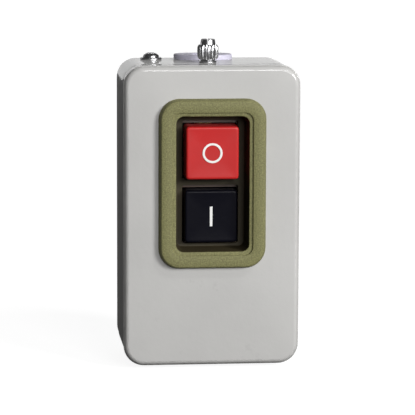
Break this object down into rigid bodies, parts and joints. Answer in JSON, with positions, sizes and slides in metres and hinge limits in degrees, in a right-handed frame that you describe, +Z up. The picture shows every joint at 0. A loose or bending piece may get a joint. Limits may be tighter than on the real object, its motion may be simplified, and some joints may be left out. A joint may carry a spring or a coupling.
{
  "type": "push-button magnetic motor starter",
  "caption": "Push-button motor starter: a steel box with a hinged cover, framed on and off buttons, clamp screw and contact mechanism.",
  "frame": {"origin": "centre of the flat back face, where it meets the wall", "axes": "+X to the viewer's right, +Y into the wall, +Z up, with the clamp screw on top"},
  "size_m": [0.0706, 0.053, 0.1316],
  "materials": {
    "enamel": "satin",
    "bezel": "speckled",
    "red_button": "satin",
    "black_button": "satin",
    "marks": "matt",
    "bright_steel": "polished",
    "plated_steel": "brushed",
    "grommet": "matt",
    "insulation": "matt",
    "moulding": "moulded",
    "carrier": "moulded",
    "contact_brass": "satin",
    "contact_silver": "matt"
  },
  "bodies": {
    "enclosure": {"base_box": "enamel", "clamp_nut": "plated_steel", "earth_screw": "bright_steel", "earth_washer": "bright_steel", "earth_nut": "plated_steel", "top_grommet": "grommet", "bottom_grommet": "grommet", "insulating_sheet": "insulation", "switch_base": "moulding", "switch_frame": "moulding", "frame_screws": "plated_steel", "mechanism_screws": "plated_steel", "pivot_pin": "bright_steel", "fixed_tips": "contact_silver", "line_terminal_1": "contact_brass", "line_terminal_2": "contact_brass", "line_terminal_3": "contact_brass", "load_terminal_1": "contact_brass", "load_terminal_2": "contact_brass", "load_terminal_3": "contact_brass", "terminal_screws": "plated_steel", "terminal_washers": "plated_steel"},
    "cover_unit": {"cover": "enamel", "bezel": "bezel", "bezel_clips": "plated_steel"},
    "off_slider": {"off_button": "red_button", "off_symbol": "marks"},
    "on_slider": {"on_button": "black_button", "on_symbol": "marks", "contact_carrier": "carrier"},
    "rocker_arm": {"rocker": "carrier"},
    "contact_bridges": {"bridge_1": "contact_brass", "bridge_2": "contact_brass", "bridge_3": "contact_brass", "moving_tips": "contact_silver", "contact_spring_1": "plated_steel", "contact_spring_2": "plated_steel", "contact_spring_3": "plated_steel"},
    "screw_washer": {"clamp_screw_washer": "bright_steel"},
    "clamp_knob": {"clamp_screw": "bright_steel"}
  },
  "joints": [
    {"name": "cover_tilt", "type": "hinge", "parent": "enclosure", "child": "cover_unit", "pos_m": [0, -0.038, -0.06], "axis": [1, 0, 0], "range_deg": [0, 75]},
    {"name": "off_button_press", "type": "slide", "parent": "enclosure", "child": "off_slider", "axis": [0, 1, 0], "range_m": [0, 0.0045]},
    {"name": "on_button_release", "type": "slide", "parent": "enclosure", "child": "on_slider", "axis": [0, -1, 0], "range_m": [0, 0.0045]},
    {"name": "rocker_swing", "type": "hinge", "parent": "enclosure", "child": "rocker_arm", "pos_m": [0, -0.033, 0.0125], "axis": [-1, 0, 0], "range_deg": [0, 19.94]},
    {"name": "bridge_lag", "type": "slide", "parent": "on_slider", "child": "contact_bridges", "axis": [0, 1, 0], "range_m": [0, 0.00135], "deforming": ["contact_spring_1", "contact_spring_2", "contact_spring_3"]},
    {"name": "clamp_screw_rise", "type": "slide", "parent": "enclosure", "child": "screw_washer", "axis": [0, 0, 1], "range_m": [0, 0.0024]},
    {"name": "clamp_screw_turn", "type": "hinge", "parent": "screw_washer", "child": "clamp_knob", "pos_m": [0, -0.0312, 0.06], "axis": [0, 0, 1], "range_deg": [0, 1081]}
  ],
  "couplings": [
    {"joint": "on_button_release", "follows": "off_button_press", "ratio": 1},
    {"joint": "rocker_swing", "follows": "off_button_press", "rad_per_m": 77.312},
    {"joint": "bridge_lag", "follows": "off_button_press", "ratio": 0.3},
    {"joint": "clamp_screw_turn", "follows": "clamp_screw_rise", "rad_per_m": 7854}
  ]
}
